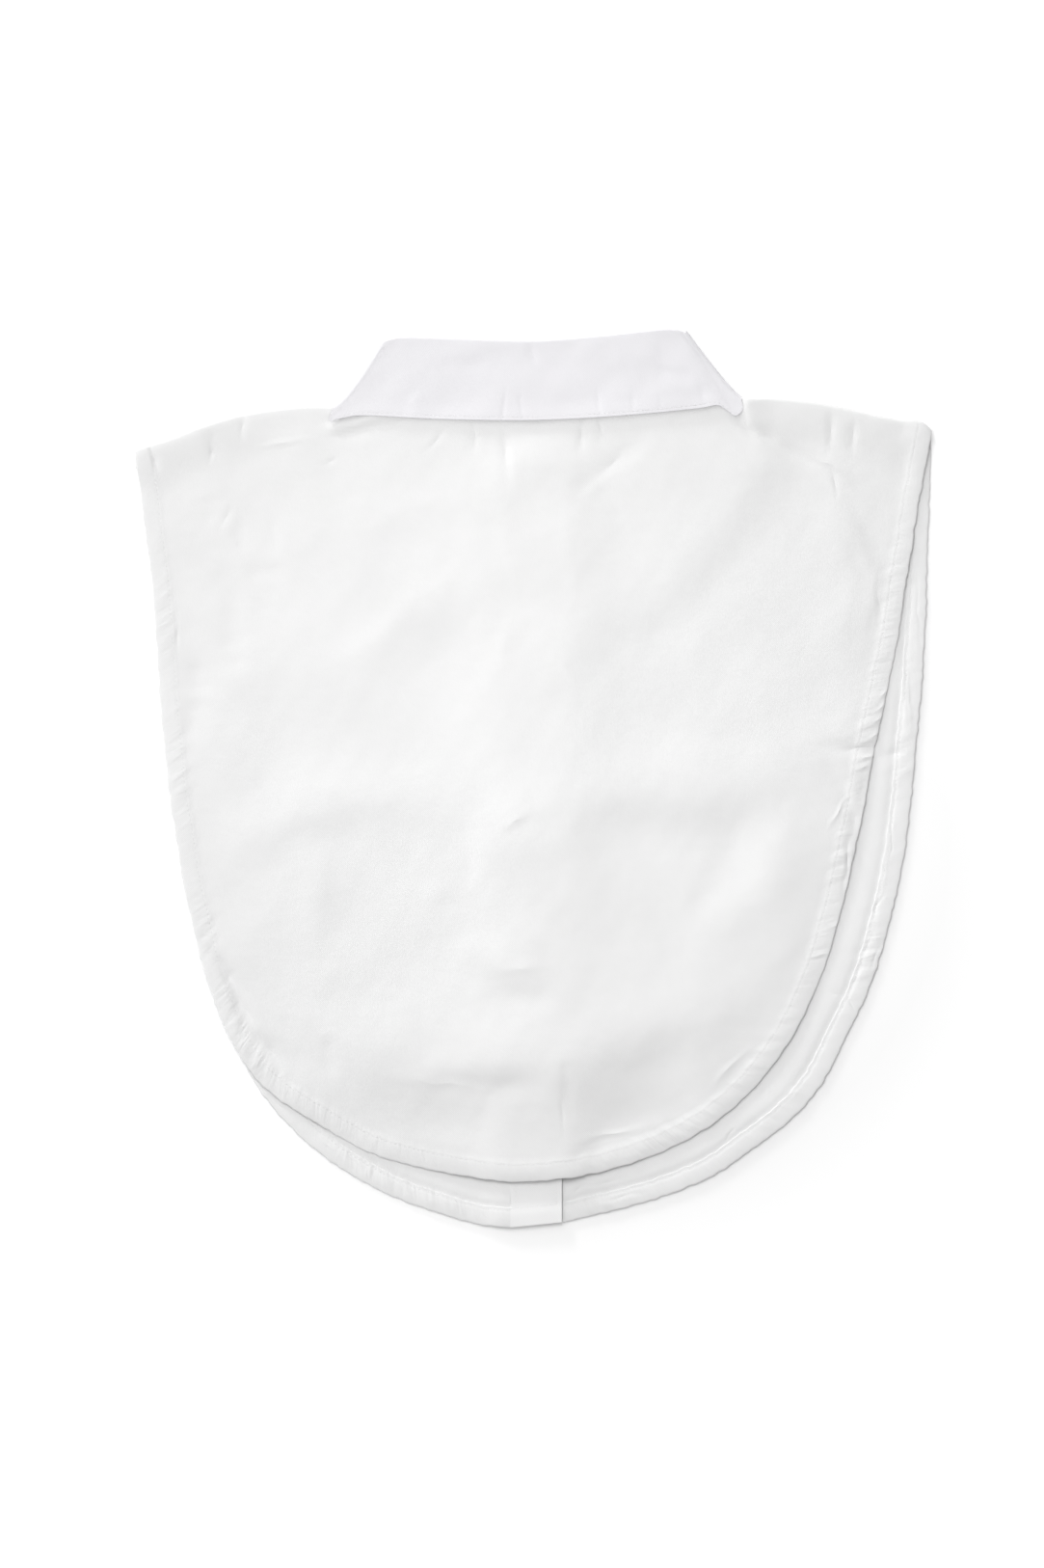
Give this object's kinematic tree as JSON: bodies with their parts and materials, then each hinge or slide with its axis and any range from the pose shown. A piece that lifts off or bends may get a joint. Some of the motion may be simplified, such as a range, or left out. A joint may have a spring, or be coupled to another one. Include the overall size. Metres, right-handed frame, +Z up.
{
  "type": "detachable shirt collar",
  "caption": "White cotton shirt collar with short front and back panels, worn under a sweater, laid flat with its back uppermost.",
  "frame": {"origin": "on the surface that the garment lies on, under the middle of its outline", "axes": "+X across the collar towards the wearer's right side, +Y from the hem up to the collar, +Z up out of the surface, towards the back of the garment"},
  "size_m": [0.4127, 0.4656, 0.0071],
  "materials": {
    "panel_cotton": "plain woven white cotton, matte",
    "collar_cotton": "plain woven white cotton with interlining, matte",
    "band_cotton": "folded plain woven white cotton, matte",
    "shirt_button": "turned white polyester button, softly glossy"
  },
  "bodies": {
    "root": {"back_panel": "panel_cotton", "left_front": "panel_cotton", "right_front": "panel_cotton", "left_band": "band_cotton", "right_band": "band_cotton", "collar_stand": "collar_cotton", "collar_leaf": "collar_cotton", "button_collar": "shirt_button", "button_1": "shirt_button", "button_2": "shirt_button", "button_3": "shirt_button", "button_4": "shirt_button"}
  },
  "joints": []
}
